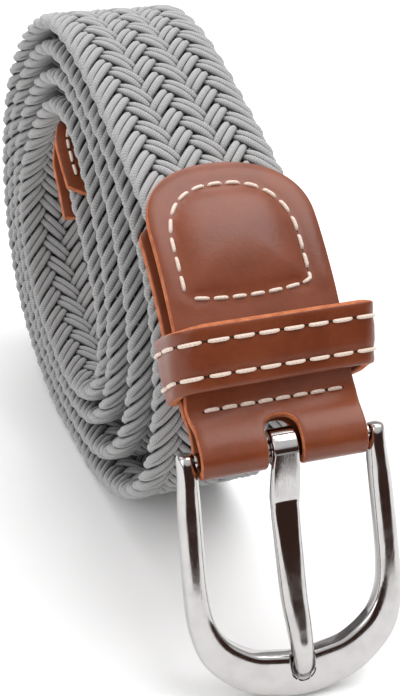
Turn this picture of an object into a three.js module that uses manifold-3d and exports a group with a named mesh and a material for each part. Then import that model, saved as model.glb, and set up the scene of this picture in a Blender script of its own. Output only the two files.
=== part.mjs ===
// Braided stretch belt, rolled up and standing on its tread, with its buckle propped on the floor.
// Millimetres. X runs across the belt's width, -Y is the buckle's side, +Z is up, the floor is z = 0.
import * as THREE from 'three';
import Module from 'manifold-3d';

const wasm = await Module();
wasm.setup();
const { Manifold, Mesh: SolidMesh } = wasm;

const BELT = { width: 32, thickness: 3.9, edge: 0.95, step: 4.6 };
const LEATHER = { thickness: 1.7, width: 34.5, foldWidth: 32.6, clear: 0.3 };
const TAB = { pinch: 9, open: 19, frontTop: 57.2, backTop: 50, arch: 14, backArch: 4, strapFrom: 19.5 };
const KEEPER = { from: 11.9, to: 23.9, width: 40.3, shift: 0.5, wall: 2, front: 10.6, back: -6.5, corner: 2.6 };
const TIP = { length: 31, arch: 19, strapInside: 13, thickness: 1.5, outerShort: 4, gape: 1 };
const BAR = { y: -62.5, z: 49.05, radius: 1.4 };
const FOLD = { y: -62.6, z: 49.45, twist: 7.6, twisted: 3, straight: 12.5 };
const FRAME = { lean: 18.12, turn: 1.91, yaw: -8.25, shift: 0.29, segments: 16, barHalf: 18.5 };
const SLOT = { width: 7.2, length: 9.6, deep: 14, archAt: 1.6 };
const PRONG = { eyeWidth: 5.0, eyeInner: 1.75, eyeOuter: 3.6 };

// The buckle reaches further right than left, so all is moved until the origin is under the box's middle.
const BOX_MIDDLE = 1.19;

const GROOVE = { x: 0.03, width: 5.2, length: 5, deep: 6, end: 47.5, floor: 0.8 };

const COLOURS = {
  braid: { color: 0x9b9c9c, roughness: 0.85, metalness: 0 },
  leather: { color: 0x8a4428, roughness: 0.42, metalness: 0 },
  metal: { color: 0xc9c9cc, roughness: 0.16, metalness: 1 },
};

// Middle line of the belt from the buckle's bar, round the roll and inwards, to the tip.
// One row for each station along the belt: y, z.
const ROUTE = {
  tab: [
    [-63.2, 49.57], [-57.0, 54.5], [-50.4, 61.9], [-40.7, 72.7],
  ],
  first_turn: [
    [-29.5, 81.8], [-16.3, 87.7], [-2.7, 92.5], [11.1, 97.1], [25.2, 100.1], [39.6, 99.6],
    [52.7, 93.6], [63.9, 84.5], [72.7, 73.1], [77.9, 59.6], [79.1, 45.2], [75.9, 31.1],
    [68.3, 19.0], [56.8, 10.2], [43.5, 4.6], [29.2, 1.8], [14.8, 1.5], [0.9, 2.9],
  ],
  second_turn: [
    [-13.9, 7.7], [-26.0, 16.3], [-33.6, 28.5], [-36.1, 43.0], [-34.2, 57.2], [-27.4, 69.9],
    [-16.3, 79.0], [-3.2, 85.3], [10.4, 90.0], [24.5, 93.7], [38.8, 93.7], [51.7, 87.3],
    [62.2, 77.4], [70.1, 65.3], [74.1, 51.5], [72.8, 37.1], [66.2, 24.4], [55.1, 15.2],
    [41.9, 9.5], [27.7, 6.7], [13.3, 6.5],
  ],
  third_turn: [
    [-0.8, 9.4], [-12.2, 18.0], [-19.2, 30.6], [-21.2, 44.8], [-17.3, 58.7], [-8.8, 70.3],
    [2.0, 79.9], [14.8, 86.7], [28.9, 89.1], [42.7, 85.2], [54.1, 76.4], [62.9, 65.0],
    [68.3, 51.6], [67.7, 37.3], [60.1, 25.1], [48.0, 17.3], [34.6, 12.3], [20.2, 11.2],
  ],
  fourth_turn: [
    [6.3, 14.4], [-4.1, 24.3], [-7.7, 38.2], [-5.7, 52.4], [1.5, 64.8], [12.0, 74.8],
    [24.6, 81.8], [38.5, 80.1], [49.7, 70.9], [58.6, 59.5], [63.7, 46.1], [59.9, 32.5],
    [49.0, 23.1], [35.6, 18.0], [21.4, 15.6], [8.0, 19.9], [-0.5, 31.3], [0.2, 45.2],
    [9.2, 56.2], [20.0, 65.4],
  ],
  tip: [[30.0, 74.0], [37.0, 75.2], [42.2, 71.8]],
};

// Buckle frame, one row for each station round the horseshoe from the left post's cap to the middle of
// the crossbar: x and v (distance from the bar) of the middle of the wire, its width and thickness, and
// how round its front is: near 1 is a half round, near 0.3 a flat face with its arrises taken off.
const FRAME_ROWS = [
  { x: -18.72, v: -1.55, width: 2.6, thick: 3.0, round: 0.9 },
  { x: -18.72, v: -1.1, width: 3.4, thick: 4.0, round: 0.9 },
  { x: -18.7, v: -0.3, width: 3.6, thick: 4.5, round: 0.9 },
  { x: -18.66, v: 3.2, width: 3.9, thick: 4.9, round: 0.9 },
  { x: -19.0, v: 9.3, width: 4.5, thick: 4.6, round: 0.9 },
  { x: -19.33, v: 19.5, width: 4.65, thick: 4.5, round: 0.85 },
  { x: -19.43, v: 27.4, width: 4.75, thick: 4.4, round: 0.75 },
  { x: -18.86, v: 33.8, width: 5.4, thick: 4.3, round: 0.6 },
  { x: -16.44, v: 39.7, width: 6.8, thick: 4.2, round: 0.45 },
  { x: -10.92, v: 44.4, width: 7.85, thick: 4.1, round: 0.38 },
  { x: -5.78, v: 46.1, width: 8.55, thick: 4.0, round: 0.35 },
  { x: 0, v: 46.95, width: 8.9, thick: 4.0, round: 0.35 },
];

// Prong shank, one row for each station: x, v, height above the frame's middle, width, thickness.
const PRONG_ROWS = [
  { x: 0, v: 0.4, rise: 2.7, width: 5.0, thick: 1.6 },
  { x: -0.4, v: 3.7, rise: 2.85, width: 5.85, thick: 2.2 },
  { x: -0.9, v: 9.7, rise: 2.85, width: 5.6, thick: 2.6 },
  { x: -0.92, v: 15.7, rise: 2.8, width: 5.5, thick: 3.0 },
  { x: -0.7, v: 29.7, rise: 2.65, width: 5.3, thick: 2.9 },
  { x: -0.2, v: 36.7, rise: 2.55, width: 4.9, thick: 2.85 },
  { x: 0.03, v: 41.7, rise: 2.45, width: 4.2, thick: 2.8 },
  { x: 0.03, v: 45.2, rise: 2.3, width: 3.5, thick: 2.3 },
  { x: 0.05, v: 46.6, rise: 2.1, width: 2.0, thick: 1.5 },
];

// Leather round the bar, in the tab's own directions: s along the tab, h off its middle.
const FOLD_ROWS = [
  { s: 9, h: 1.1 }, { s: 7, h: 1.35 }, { s: 5, h: 2.1 }, { s: 3, h: 2.85 }, { s: 1.2, h: 3.2 },
  { s: -0.6, h: 3.2 }, { s: -2.0, h: 2.55 }, { s: -3.0, h: 1.35 }, { s: -3.3, h: 0 },
];

function makeRoute() {
  const rows = Object.values(ROUTE).flat();
  const points = rows.map(([y, z]) => new THREE.Vector3(0, y, z));
  const curve = new THREE.CatmullRomCurve3(points, false, 'catmullrom', 0.5);
  curve.arcLengthDivisions = rows.length * 40;
  const length = curve.getLength();
  const lowest = BELT.thickness / 2;
  // The middle line and its outward side at a distance s from the bar.
  function at(s) {
    const u = THREE.MathUtils.clamp(s / length, 0, 1);
    const point = curve.getPointAt(u);
    const tangent = curve.getTangentAt(u);
    const flat = point.z <= lowest;
    const out = flat ? [0, -1] : [-tangent.z, tangent.y];
    return { y: point.y, z: Math.max(point.z, lowest), out, along: [out[1], -out[0]] };
  }
  return { at, length };
}

const route = makeRoute();

// Closed solid from rings of points, each ring in the same order, the ends capped.
function solidFromRings(rings) {
  const count = rings[0].length;
  const positions = rings.flat(2);
  const index = [];
  for (let r = 0; r < rings.length - 1; r += 1) {
    for (let k = 0; k < count; k += 1) {
      const a = r * count + k;
      const b = r * count + ((k + 1) % count);
      index.push(a, b, a + count, b, b + count, a + count);
    }
  }
  const last = (rings.length - 1) * count;
  for (let k = 1; k < count - 1; k += 1) {
    index.push(0, k + 1, k);
    index.push(last, last + k, last + k + 1);
  }
  const solid = new Manifold(new SolidMesh({
    numProp: 3,
    vertProperties: new Float32Array(positions),
    triVerts: new Uint32Array(index),
  }));
  return solid.volume() < 0 ? flipped(positions, index) : solid;
}

function flipped(positions, index) {
  const turned = [];
  for (let i = 0; i < index.length; i += 3) turned.push(index[i], index[i + 2], index[i + 1]);
  return new Manifold(new SolidMesh({
    numProp: 3,
    vertProperties: new Float32Array(positions),
    triVerts: new Uint32Array(turned),
  }));
}

function meshFromSolid(name, solid, look) {
  const data = solid.translate([-BOX_MIDDLE, 0, 0]).getMesh();
  const geometry = new THREE.BufferGeometry();
  const positions = [];
  for (let i = 0; i < data.numVert; i += 1) positions.push(...data.position(i));
  geometry.setAttribute('position', new THREE.Float32BufferAttribute(positions, 3));
  geometry.setIndex(Array.from(data.triVerts));
  geometry.computeVertexNormals();
  const mesh = new THREE.Mesh(geometry, new THREE.MeshStandardMaterial(look));
  mesh.name = name;
  return mesh;
}

// Ring across the belt at a point: x by half width, h by half thickness, with its edges taken off.
function beltRing(centre, out, halfWidth, halfThick, edge) {
  const bevel = Math.min(edge * 1.4, halfWidth * 0.5);
  const flank = Math.max(halfThick - edge, halfThick * 0.4);
  const profile = [
    [-halfWidth, -flank], [-halfWidth + bevel, -halfThick], [halfWidth - bevel, -halfThick],
    [halfWidth, -flank], [halfWidth, flank], [halfWidth - bevel, halfThick],
    [-halfWidth + bevel, halfThick], [-halfWidth, flank],
  ];
  return profile.map(([x, h]) => [x, centre.y + out[0] * h, centre.z + out[1] * h]);
}

function braidedStrap() {
  const from = TAB.strapFrom;
  const to = route.length - TIP.length + TIP.strapInside;
  const count = Math.round((to - from) / BELT.step);
  const rings = [];
  for (let i = 0; i <= count; i += 1) {
    const here = route.at(from + ((to - from) * i) / count);
    rings.push(beltRing(here, here.out, BELT.width / 2, BELT.thickness / 2, BELT.edge));
  }
  return solidFromRings(rings);
}

// Half width of a leather leaf that is straight up to a rounded or pointed end.
function leafHalfWidth(s, end, arch) {
  const over = Math.max(0, s - (end - arch)) / arch;
  return (LEATHER.width / 2) * Math.sqrt(Math.max(0.02, 1 - over * over));
}

// How far a tab leaf's middle lies off the belt's middle: pinched under the keeper, then round the braid.
function leafOffset(s) {
  const opened = THREE.MathUtils.smoothstep(s, TAB.pinch, TAB.open);
  const full = BELT.thickness / 2 + LEATHER.clear + LEATHER.thickness / 2;
  return THREE.MathUtils.lerp(FOLD_ROWS[0].h, full, opened);
}

function leafStations(top, arch, side) {
  const steps = 16;
  const rows = [];
  for (let i = 1; i <= steps; i += 1) {
    const t = i / steps;
    const s = TAB.pinch + (top - TAB.pinch) * (1 - (1 - t) ** 1.35);
    const here = route.at(s);
    const h = side * leafOffset(s);
    rows.push({
      y: here.y + here.out[0] * h,
      z: here.z + here.out[1] * h,
      half: leafHalfWidth(s, top, arch),
    });
  }
  return rows;
}

// Straight direction from the fold's middle to the pinch, and the outward side of it.
function tabDirections() {
  const pinch = route.at(TAB.pinch);
  const run = [pinch.y - FOLD.y, pinch.z - FOLD.z];
  const size = Math.hypot(...run);
  const along = [run[0] / size, run[1] / size];
  return { along, out: [-along[1], along[0]] };
}

function foldStations() {
  const { along, out } = tabDirections();
  const place = (s, h) => ({
    y: FOLD.y + along[0] * s + out[0] * h,
    z: FOLD.z + along[1] * s + out[1] * h,
    half: LEATHER.foldWidth / 2,
  });
  const front = FOLD_ROWS.map((row) => place(row.s, row.h));
  const back = FOLD_ROWS.slice(0, -1).reverse().map((row) => place(row.s, -row.h));
  return [...front, ...back];
}

// A strip of leather along stations y, z, half, one thickness through.
function leatherStrip(stations, thickness) {
  const rings = stations.map((here, i) => {
    const before = stations[Math.max(0, i - 1)];
    const after = stations[Math.min(stations.length - 1, i + 1)];
    const run = [after.y - before.y, after.z - before.z];
    const size = Math.hypot(...run);
    const out = [-run[1] / size, run[0] / size];
    return beltRing(here, out, here.half, thickness / 2, 0.35);
  });
  return solidFromRings(rings);
}

function buckleTab() {
  const front = leafStations(TAB.frontTop, TAB.arch, 1).reverse();
  const back = leafStations(TAB.backTop, TAB.backArch, -1);
  const leather = leatherStrip([...front, ...foldStations(), ...back], LEATHER.thickness);
  const { along } = tabDirections();
  const angle = Math.atan2(along[1], along[0]) * THREE.MathUtils.RAD2DEG;
  const radius = SLOT.width / 2;
  const straight = Manifold.cube([SLOT.width, SLOT.length, SLOT.deep], true)
    .translate([0, SLOT.archAt - SLOT.length / 2, 0]);
  const arched = Manifold.cylinder(SLOT.deep, radius, radius, 20, true).translate([0, SLOT.archAt, 0]);
  const slot = straight.add(arched).rotate([angle, 0, 0]).translate([0, FOLD.y, FOLD.z]);
  return twistedNeck(leather.subtract(slot));
}

// The buckle hangs a little askew, so the leather's neck twists until its fold lies along the bar.
function twistedNeck(solid) {
  const { along } = tabDirections();
  const bar = placeOnBuckle(1, 0, 0);
  const middle = placeOnBuckle(0, 0, 0);
  const axis = new THREE.Vector3(0, middle[2] - bar[2], bar[1] - middle[1]).normalize();
  const point = new THREE.Vector3();
  return solid.warp((vertex) => {
    point.set(vertex[0], vertex[1] - FOLD.y, vertex[2] - FOLD.z);
    const s = point.y * along[0] + point.z * along[1];
    const share = 1 - THREE.MathUtils.smoothstep(s, FOLD.twisted, FOLD.straight);
    point.applyAxisAngle(axis, FOLD.twist * THREE.MathUtils.DEG2RAD * share);
    vertex[0] = point.x;
    vertex[1] = point.y + FOLD.y;
    vertex[2] = point.z + FOLD.z;
  });
}

function roundedRectangle(halfWidth, low, high, radius) {
  const corners = [
    [halfWidth - radius, high - radius, 0], [-halfWidth + radius, high - radius, 90],
    [-halfWidth + radius, low + radius, 180], [halfWidth - radius, low + radius, 270],
  ];
  const points = [];
  for (const [x, h, start] of corners) {
    for (let k = 0; k <= 4; k += 1) {
      const angle = (start + k * 22.5) * THREE.MathUtils.DEG2RAD;
      points.push([x + radius * Math.cos(angle), h + radius * Math.sin(angle)]);
    }
  }
  return points;
}

function keeperLoop() {
  const length = KEEPER.to - KEEPER.from;
  const middle = route.at((KEEPER.from + KEEPER.to) / 2);
  const angle = Math.atan2(middle.along[1], middle.along[0]) * THREE.MathUtils.RAD2DEG;
  const outer = roundedRectangle(KEEPER.width / 2, KEEPER.back, KEEPER.front, KEEPER.corner);
  const inner = roundedRectangle(
    KEEPER.width / 2 - KEEPER.wall,
    KEEPER.back + KEEPER.wall,
    KEEPER.front - KEEPER.wall,
    KEEPER.corner - KEEPER.wall,
  ).reverse();
  const band = Manifold.extrude([outer, inner], length, 0, 0, [1, 1], true);
  return band.rotate([-90, 0, 0]).mirror([0, 0, 1]).rotate([angle, 0, 0]).translate([KEEPER.shift, middle.y, middle.z]);
}

function tipLeaf(side) {
  const start = route.length - TIP.length + (side > 0 ? TIP.outerShort : 0);
  const stations = [];
  const steps = 14;
  const open = BELT.thickness / 2 + LEATHER.clear + TIP.thickness / 2;
  const shut = LEATHER.clear / 2 + TIP.thickness / 2;
  for (let i = 0; i <= steps; i += 1) {
    const t = 1 - (1 - i / steps) ** 1.4;
    const s = start + (route.length - start) * t;
    const inside = s - route.length + TIP.length;
    const closing = THREE.MathUtils.smoothstep(inside, TIP.strapInside - 1, TIP.strapInside + 6);
    const gape = TIP.gape * (1 - THREE.MathUtils.smoothstep(s - start, 0, 7));
    const h = side * (THREE.MathUtils.lerp(open, shut, closing) + gape);
    const here = route.at(Math.min(s, route.length - 0.01));
    stations.push({
      y: here.y + here.out[0] * h,
      z: here.z + here.out[1] * h,
      half: leafHalfWidth(s, route.length, TIP.arch),
    });
  }
  return leatherStrip(stations, TIP.thickness);
}

// From the buckle's flat directions (x across, v away from the bar, w to its front) to the part's.
function placeOnBuckle(x, v, w) {
  const lean = FRAME.lean * THREE.MathUtils.DEG2RAD;
  const turn = FRAME.turn * THREE.MathUtils.DEG2RAD;
  const away = [-Math.sin(lean), -Math.cos(lean)];
  const front = [-Math.cos(lean), Math.sin(lean)];
  const yaw = FRAME.yaw * THREE.MathUtils.DEG2RAD;
  const turned = x * Math.cos(turn) + v * Math.sin(turn);
  const down = v * Math.cos(turn) - x * Math.sin(turn);
  const across = turned * Math.cos(yaw) + w * Math.sin(yaw);
  const ahead = w * Math.cos(yaw) - turned * Math.sin(yaw);
  return [
    FRAME.shift + across,
    BAR.y + away[0] * down + front[0] * ahead,
    BAR.z + away[1] * down + front[1] * ahead,
  ];
}

// Ring of an oval wire across its run (dx, dv) in the buckle's plane.
function wireRing(row, run, segments) {
  const size = Math.hypot(...run);
  const side = [-run[1] / size, run[0] / size];
  const ring = [];
  for (let k = 0; k < segments; k += 1) {
    const angle = (k / segments) * Math.PI * 2;
    const c = Math.cos(angle);
    const s = Math.sin(angle);
    const across = (Math.sign(c) * Math.abs(c) ** 0.85 * row.width) / 2;
    const up = (Math.sign(s) * Math.abs(s) ** row.round * row.thick) / 2;
    ring.push(placeOnBuckle(row.x + side[0] * across, row.v + side[1] * across, up));
  }
  return ring;
}

// Turns a solid made round the origin (x across, -y away from the bar, z to the front) onto the buckle.
function ontoBuckle(solid) {
  return solid.rotate([0, 0, FRAME.turn]).rotate([0, FRAME.yaw, 0]).rotate([90 - FRAME.lean, 0, 0])
    .translate([FRAME.shift, BAR.y, BAR.z]);
}

// Cylinder along the buckle's bar, its middle at x.
function cylinderAcross(radius, halfLength, segments, x) {
  const round = Manifold.cylinder(2 * halfLength, radius, radius, segments, true);
  return ontoBuckle(round.rotate([0, 90, 0]).translate([x, 0, 0]));
}

function smoothRows(rows, keys, perSpan) {
  const result = [];
  for (let i = 0; i < rows.length - 1; i += 1) {
    const r0 = rows[Math.max(0, i - 1)];
    const r3 = rows[Math.min(rows.length - 1, i + 2)];
    for (let j = 0; j < perSpan; j += 1) {
      const t = j / perSpan;
      const row = {};
      for (const key of keys) {
        const p0 = r0[key];
        const p1 = rows[i][key];
        const p2 = rows[i + 1][key];
        const p3 = r3[key];
        row[key] = 0.5 * (2 * p1 + (p2 - p0) * t + (2 * p0 - 5 * p1 + 4 * p2 - p3) * t * t
          + (3 * p1 - p0 - 3 * p2 + p3) * t * t * t);
      }
      result.push(row);
    }
  }
  result.push(rows[rows.length - 1]);
  return result;
}

// Groove with a round far end, cut from above into the crossbar where the prong lies.
function grooveOnBuckle(groove) {
  const straight = Manifold.cube([groove.width, groove.length, groove.deep], true)
    .translate([0, groove.length / 2, 0]);
  const round = Manifold.cylinder(groove.deep, groove.width / 2, groove.width / 2, 20, true);
  const end = groove.width / 2 - groove.end;
  return ontoBuckle(straight.add(round).translate([groove.x, end, groove.floor + groove.deep / 2]));
}

function buckleFrame() {
  const right = FRAME_ROWS.slice(0, -1).reverse().map((row) => ({ ...row, x: -row.x }));
  const rows = smoothRows([...FRAME_ROWS, ...right], ['x', 'v', 'width', 'thick', 'round'], 2);
  const rings = rows.map((row, i) => {
    const before = rows[Math.max(0, i - 1)];
    const after = rows[Math.min(rows.length - 1, i + 1)];
    return wireRing(row, [after.x - before.x, after.v - before.v], FRAME.segments);
  });
  const horseshoe = solidFromRings(rings);
  const bar = cylinderAcross(BAR.radius, FRAME.barHalf, 20, 0);
  const notch = grooveOnBuckle(GROOVE);
  return horseshoe.add(bar).subtract(notch);
}

function buckleProng() {
  const rows = smoothRows(PRONG_ROWS, ['x', 'v', 'rise', 'width', 'thick'], 2);
  const rings = rows.map((row) => {
    const ring = [];
    const flatSide = row.rise - row.thick / 2;
    for (let k = 0; k <= 8; k += 1) {
      const angle = (k / 8) * Math.PI;
      const x = row.x + (Math.cos(angle) * row.width) / 2;
      ring.push(placeOnBuckle(x, row.v, flatSide + row.thick * (0.25 + 0.75 * Math.sin(angle))));
    }
    ring.push(placeOnBuckle(row.x - row.width * 0.42, row.v, flatSide));
    ring.push(placeOnBuckle(row.x + row.width * 0.42, row.v, flatSide));
    return ring;
  });
  const shank = solidFromRings(rings);
  const eye = cylinderAcross(PRONG.eyeOuter, PRONG.eyeWidth / 2, 24, PRONG_ROWS[0].x);
  const hole = cylinderAcross(PRONG.eyeInner, PRONG.eyeWidth, 24, PRONG_ROWS[0].x);
  return shank.add(eye).subtract(hole);
}

const belt = new THREE.Group();
belt.name = 'braided_stretch_belt';
belt.add(meshFromSolid('braided_strap', braidedStrap(), COLOURS.braid));
belt.add(meshFromSolid('buckle_tab', buckleTab(), COLOURS.leather));
belt.add(meshFromSolid('keeper_loop', keeperLoop(), COLOURS.leather));
belt.add(meshFromSolid('tip_outer_leaf', tipLeaf(1), COLOURS.leather));
belt.add(meshFromSolid('tip_inner_leaf', tipLeaf(-1), COLOURS.leather));
belt.add(meshFromSolid('buckle_frame', buckleFrame(), COLOURS.metal));
belt.add(meshFromSolid('buckle_prong', buckleProng(), COLOURS.metal));

export default belt;
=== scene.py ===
# %% [markdown]
# # A braided stretch belt, rolled up and standing on its tread
#
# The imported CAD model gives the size, the place of every solid and the joints. It stays as it is, and
# each plain solid is dressed here with the form that it only stands for: twenty-six knitted cords
# that are plaited, leather with raw edges, sewn lines of thread and a polished buckle. Blender works
# in metres, but a belt is easier to think about in millimetres, so the shapes are made in millimetres
# and turned into metres at the last moment.

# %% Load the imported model
import math

import bmesh
import bpy
import numpy as np
from mathutils import Matrix
from mathutils.geometry import delaunay_2d_cdt


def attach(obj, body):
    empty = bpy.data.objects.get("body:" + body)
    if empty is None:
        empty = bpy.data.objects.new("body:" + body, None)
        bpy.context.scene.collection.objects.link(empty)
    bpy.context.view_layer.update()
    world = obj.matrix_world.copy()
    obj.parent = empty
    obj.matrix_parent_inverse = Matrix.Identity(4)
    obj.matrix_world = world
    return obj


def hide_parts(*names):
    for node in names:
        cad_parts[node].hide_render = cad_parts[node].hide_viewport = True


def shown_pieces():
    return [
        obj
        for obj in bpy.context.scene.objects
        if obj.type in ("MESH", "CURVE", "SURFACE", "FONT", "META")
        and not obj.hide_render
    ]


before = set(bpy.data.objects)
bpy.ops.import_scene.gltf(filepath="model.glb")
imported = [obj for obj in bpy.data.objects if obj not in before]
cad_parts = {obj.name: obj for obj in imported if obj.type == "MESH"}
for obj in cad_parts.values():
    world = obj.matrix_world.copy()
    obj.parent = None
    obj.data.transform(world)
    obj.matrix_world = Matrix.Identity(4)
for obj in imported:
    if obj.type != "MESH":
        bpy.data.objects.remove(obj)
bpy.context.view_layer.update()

# %% [markdown]
# ## From numbers to a mesh
#
# Every piece ends in the same few steps: points and faces become a mesh, its faces are turned to look
# outwards unless it carries texture corners, it is hung on the body it rides on, each face gets the
# number of its finish, and the CAD solids it stands for are hidden. One helper does this, so no piece
# can miss a step. Smooth shading hides the facets, and edges sharper than a limit are marked, which
# keeps a true corner crisp.
#
# All shapes are worked out with the belt's middle at x = 0. The buckle reaches a little further to
# the right, so at the end everything moves left until the origin is under the middle of the box.

# %% A helper that makes a piece
MM = 0.001
BOX_MIDDLE = np.array([1.19, 0, 0])


def mark_sharp(work, limit):
    """Edges that turn by more than the limit, in degrees, stay crisp."""
    for edge in work.edges:
        edge.smooth = edge.calc_face_angle(0) < math.radians(limit)


def make_piece(name, points, faces, body, stands_for=(), sharp=None, uv=None, face_finish=None):
    mesh = bpy.data.meshes.new(name)
    mesh.from_pydata((np.asarray(points, float) - BOX_MIDDLE) * MM, [], faces)
    if uv is not None:
        mesh.uv_layers.new(name="cord").data.foreach_set("uv", np.asarray(uv, np.float32).ravel())
    if face_finish is not None:
        mesh.polygons.foreach_set("material_index", face_finish)
    work = bmesh.new()
    work.from_mesh(mesh)
    if uv is None:
        bmesh.ops.recalc_face_normals(work, faces=work.faces)
    if sharp is not None:
        mark_sharp(work, sharp)
    work.to_mesh(mesh)
    work.free()
    mesh.polygons.foreach_set("use_smooth", [True] * len(mesh.polygons))
    piece = bpy.data.objects.new(name, mesh)
    bpy.context.scene.collection.objects.link(piece)
    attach(piece, body)
    if stands_for:
        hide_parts(*stands_for)
    print(f"{name}: {len(mesh.vertices)} points, {len(mesh.polygons)} faces")
    return piece


# %% [markdown]
# ## The way the belt lies
#
# A rolled belt is a flat band bent only one way, so one line in the Y-Z plane says where it is. These
# are the same stations as in the CAD model, from the buckle's bar round four turns to the tip. A
# curve through them, measured along its length, gives two things at any distance from the bar: the
# point on the middle line, and the direction out of the band. Where the roll stands, its own weight
# presses it flat, so the line is never lower than half the belt's thickness.

# %% Middle line of the belt
ROUTE = np.array([
    [-63.2, 49.57], [-57.0, 54.5], [-50.4, 61.9], [-40.7, 72.7],
    [-29.5, 81.8], [-16.3, 87.7], [-2.7, 92.5], [11.1, 97.1], [25.2, 100.1], [39.6, 99.6],
    [52.7, 93.6], [63.9, 84.5], [72.7, 73.1], [77.9, 59.6], [79.1, 45.2], [75.9, 31.1],
    [68.3, 19.0], [56.8, 10.2], [43.5, 4.6], [29.2, 1.8], [14.8, 1.5], [0.9, 2.9],
    [-13.9, 7.7], [-26.0, 16.3], [-33.6, 28.5], [-36.1, 43.0], [-34.2, 57.2], [-27.4, 69.9],
    [-16.3, 79.0], [-3.2, 85.3], [10.4, 90.0], [24.5, 93.7], [38.8, 93.7], [51.7, 87.3],
    [62.2, 77.4], [70.1, 65.3], [74.1, 51.5], [72.8, 37.1], [66.2, 24.4], [55.1, 15.2],
    [41.9, 9.5], [27.7, 6.7], [13.3, 6.5],
    [-0.8, 9.4], [-12.2, 18.0], [-19.2, 30.6], [-21.2, 44.8], [-17.3, 58.7], [-8.8, 70.3],
    [2.0, 79.9], [14.8, 86.7], [28.9, 89.1], [42.7, 85.2], [54.1, 76.4], [62.9, 65.0],
    [68.3, 51.6], [67.7, 37.3], [60.1, 25.1], [48.0, 17.3], [34.6, 12.3], [20.2, 11.2],
    [6.3, 14.4], [-4.1, 24.3], [-7.7, 38.2], [-5.7, 52.4], [1.5, 64.8], [12.0, 74.8],
    [24.6, 81.8], [38.5, 80.1], [49.7, 70.9], [58.6, 59.5], [63.7, 46.1], [59.9, 32.5],
    [49.0, 23.1], [35.6, 18.0], [21.4, 15.6], [8.0, 19.9], [-0.5, 31.3], [0.2, 45.2],
    [9.2, 56.2], [20.0, 65.4],
    [30.0, 74.0], [37.0, 75.2], [42.2, 71.8],
])
BELT_HALF_THICK = 1.95


def smooth_rows(rows, per_span):
    """Rows of numbers on a smooth curve through the given rows, split evenly span by span."""
    rows = np.asarray(rows, float)
    ends = np.vstack([2 * rows[0] - rows[1], rows, 2 * rows[-1] - rows[-2]])
    t = (np.arange(per_span) / per_span)[:, None]
    spans = []
    for p0, p1, p2, p3 in zip(ends, ends[1:], ends[2:], ends[3:]):
        bend = 2 * p0 - 5 * p1 + 4 * p2 - p3
        twist = 3 * p1 - p0 - 3 * p2 + p3
        spans.append(0.5 * (2 * p1 + (p2 - p0) * t + bend * t**2 + twist * t**3))
    return np.vstack([*spans, rows[-1:]])


def distances(points):
    """How far along a line of points each one lies."""
    steps = np.linalg.norm(np.diff(points, axis=0), axis=1)
    return np.concatenate([[0.0], np.cumsum(steps)])


def unit(vectors):
    return vectors / np.linalg.norm(vectors, axis=-1, keepdims=True)


route_line = smooth_rows(ROUTE, 40)
route_reach = distances(route_line)
route_line[:, 1] = np.maximum(route_line[:, 1], BELT_HALF_THICK)
route_run = unit(np.gradient(route_line, route_reach, axis=0))
BELT_LENGTH = route_reach[-1]


def along_line(at, reach, line, run):
    """Point and outward side (both y, z) at distances along a line."""
    point = np.stack([np.interp(at, reach, line[:, k]) for k in (0, 1)], -1)
    ahead = unit(np.stack([np.interp(at, reach, run[:, k]) for k in (0, 1)], -1))
    return point, np.stack([-ahead[..., 1], ahead[..., 0]], -1)


def belt_point(x, s, h):
    """Point of the band: x across it, s from the bar along it, h out of its middle."""
    point, out = along_line(s, route_reach, route_line, route_run)
    place = point + out * np.asarray(h)[..., None]
    return np.concatenate([np.broadcast_to(x, place.shape[:-1])[..., None], place], -1)


print(f"From the bar to the tip the belt is {BELT_LENGTH:.0f} mm long")

# %% [markdown]
# ## Sweeping a round cord
#
# Cords and stitches are both a circle carried along a line. The circle needs a steady "up" so that it
# doesn't spin on its way: the direction out of the band serves, because it never runs along the cord.
# The texture coordinates are laid down at the same time, once round the cord in U and the distance
# along it, in millimetres, in V, so that a knitted cover can follow the cord round every bend.

# %% A helper that sweeps a circle


def sweep(path, up, radius, sides, first):
    """Points, faces and texture corners of a closed round cord whose first point has number first."""
    count = len(path)
    run = unit(np.gradient(path, axis=0))
    up = unit(up - run * np.sum(up * run, 1, keepdims=True))
    side = np.cross(run, up)
    angle = np.arange(sides) / sides * 2 * math.pi
    ring = np.cos(angle)[None, :, None] * up[:, None] + np.sin(angle)[None, :, None] * side[:, None]
    points = path[:, None] + ring * np.broadcast_to(radius, count)[:, None, None]
    here = np.arange(count - 1)[:, None] * sides + np.arange(sides)[None]
    nxt = np.arange(count - 1)[:, None] * sides + (np.arange(sides)[None] + 1) % sides
    quads = np.stack([here, here + sides, nxt + sides, nxt], -1).reshape(-1, 4) + first
    last = (count - 1) * sides + first
    caps = [list(range(first, first + sides)), list(range(last + sides - 1, last - 1, -1))]
    reach = distances(path)
    u0 = np.broadcast_to(np.arange(sides) / sides, (count - 1, sides))
    v0 = np.broadcast_to(reach[:-1, None], (count - 1, sides))
    v1 = np.broadcast_to(reach[1:, None], (count - 1, sides))
    u1 = u0 + 1 / sides
    uv = np.stack([u0, v0, u0, v1, u1, v1, u1, v0], -1).reshape(-1, 2)
    uv = np.vstack([uv, np.zeros((2 * sides, 2))])
    return points.reshape(-1, 3), quads.tolist() + caps, uv


def make_cords(name, lines, sides, body, stands_for=()):
    """One piece from several swept lines, each (path, up, radius)."""
    points, faces, corners, count = [], [], [], 0
    for path, up, radius in lines:
        new_points, new_faces, new_uv = sweep(path, up, radius, sides, count)
        points.append(new_points)
        faces += new_faces
        corners.append(new_uv)
        count += len(new_points)
    return make_piece(name, np.vstack(points), faces, body, stands_for, uv=np.vstack(corners))


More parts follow.
